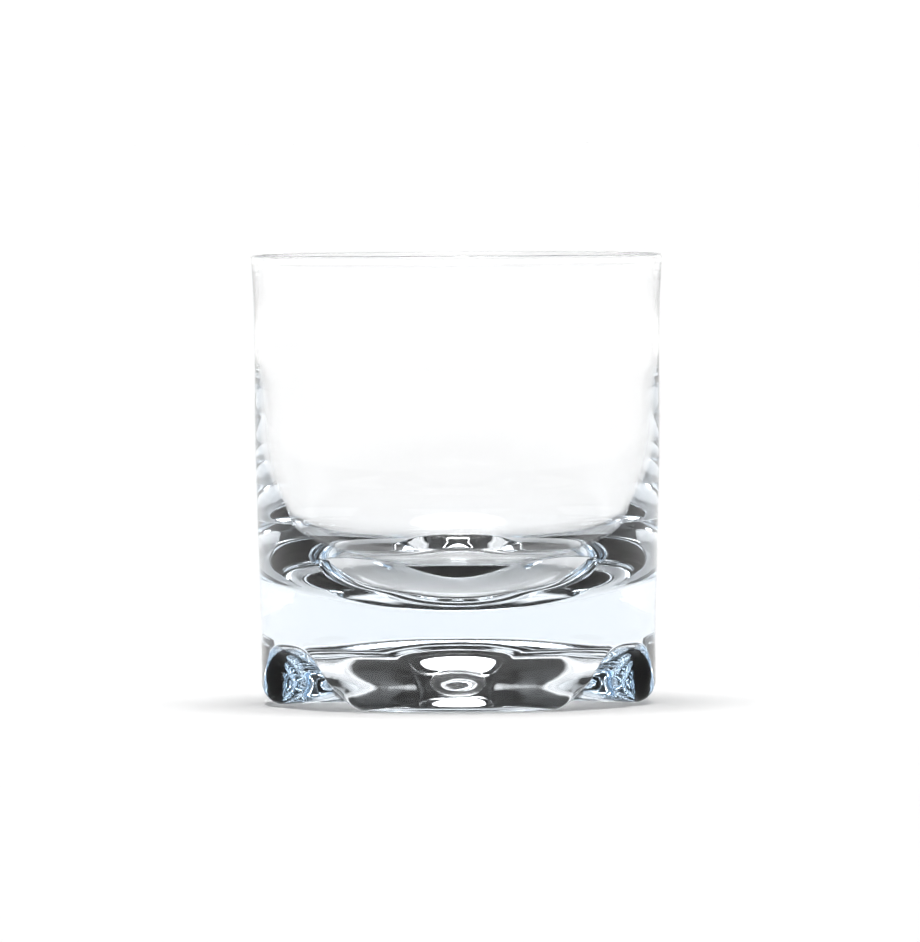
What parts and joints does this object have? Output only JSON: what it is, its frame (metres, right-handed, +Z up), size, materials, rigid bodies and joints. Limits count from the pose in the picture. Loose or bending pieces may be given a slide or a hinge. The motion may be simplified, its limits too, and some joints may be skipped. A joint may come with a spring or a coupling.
{
  "type": "whiskey tumbler",
  "caption": "Low clear whiskey tumbler with a thin wall over a thick glass base, which radial arches part into feet, for short drinks.",
  "frame": {"origin": "on the table plane under the feet, on the cup's axis", "axes": "+Z up along the cup's axis towards the rim; one foot faces -Y and one arch faces +Y"},
  "size_m": [0.086, 0.086, 0.094],
  "materials": {
    "clear_glass": "polished"
  },
  "bodies": {
    "root": {"glass_tumbler": "clear_glass"}
  },
  "joints": []
}
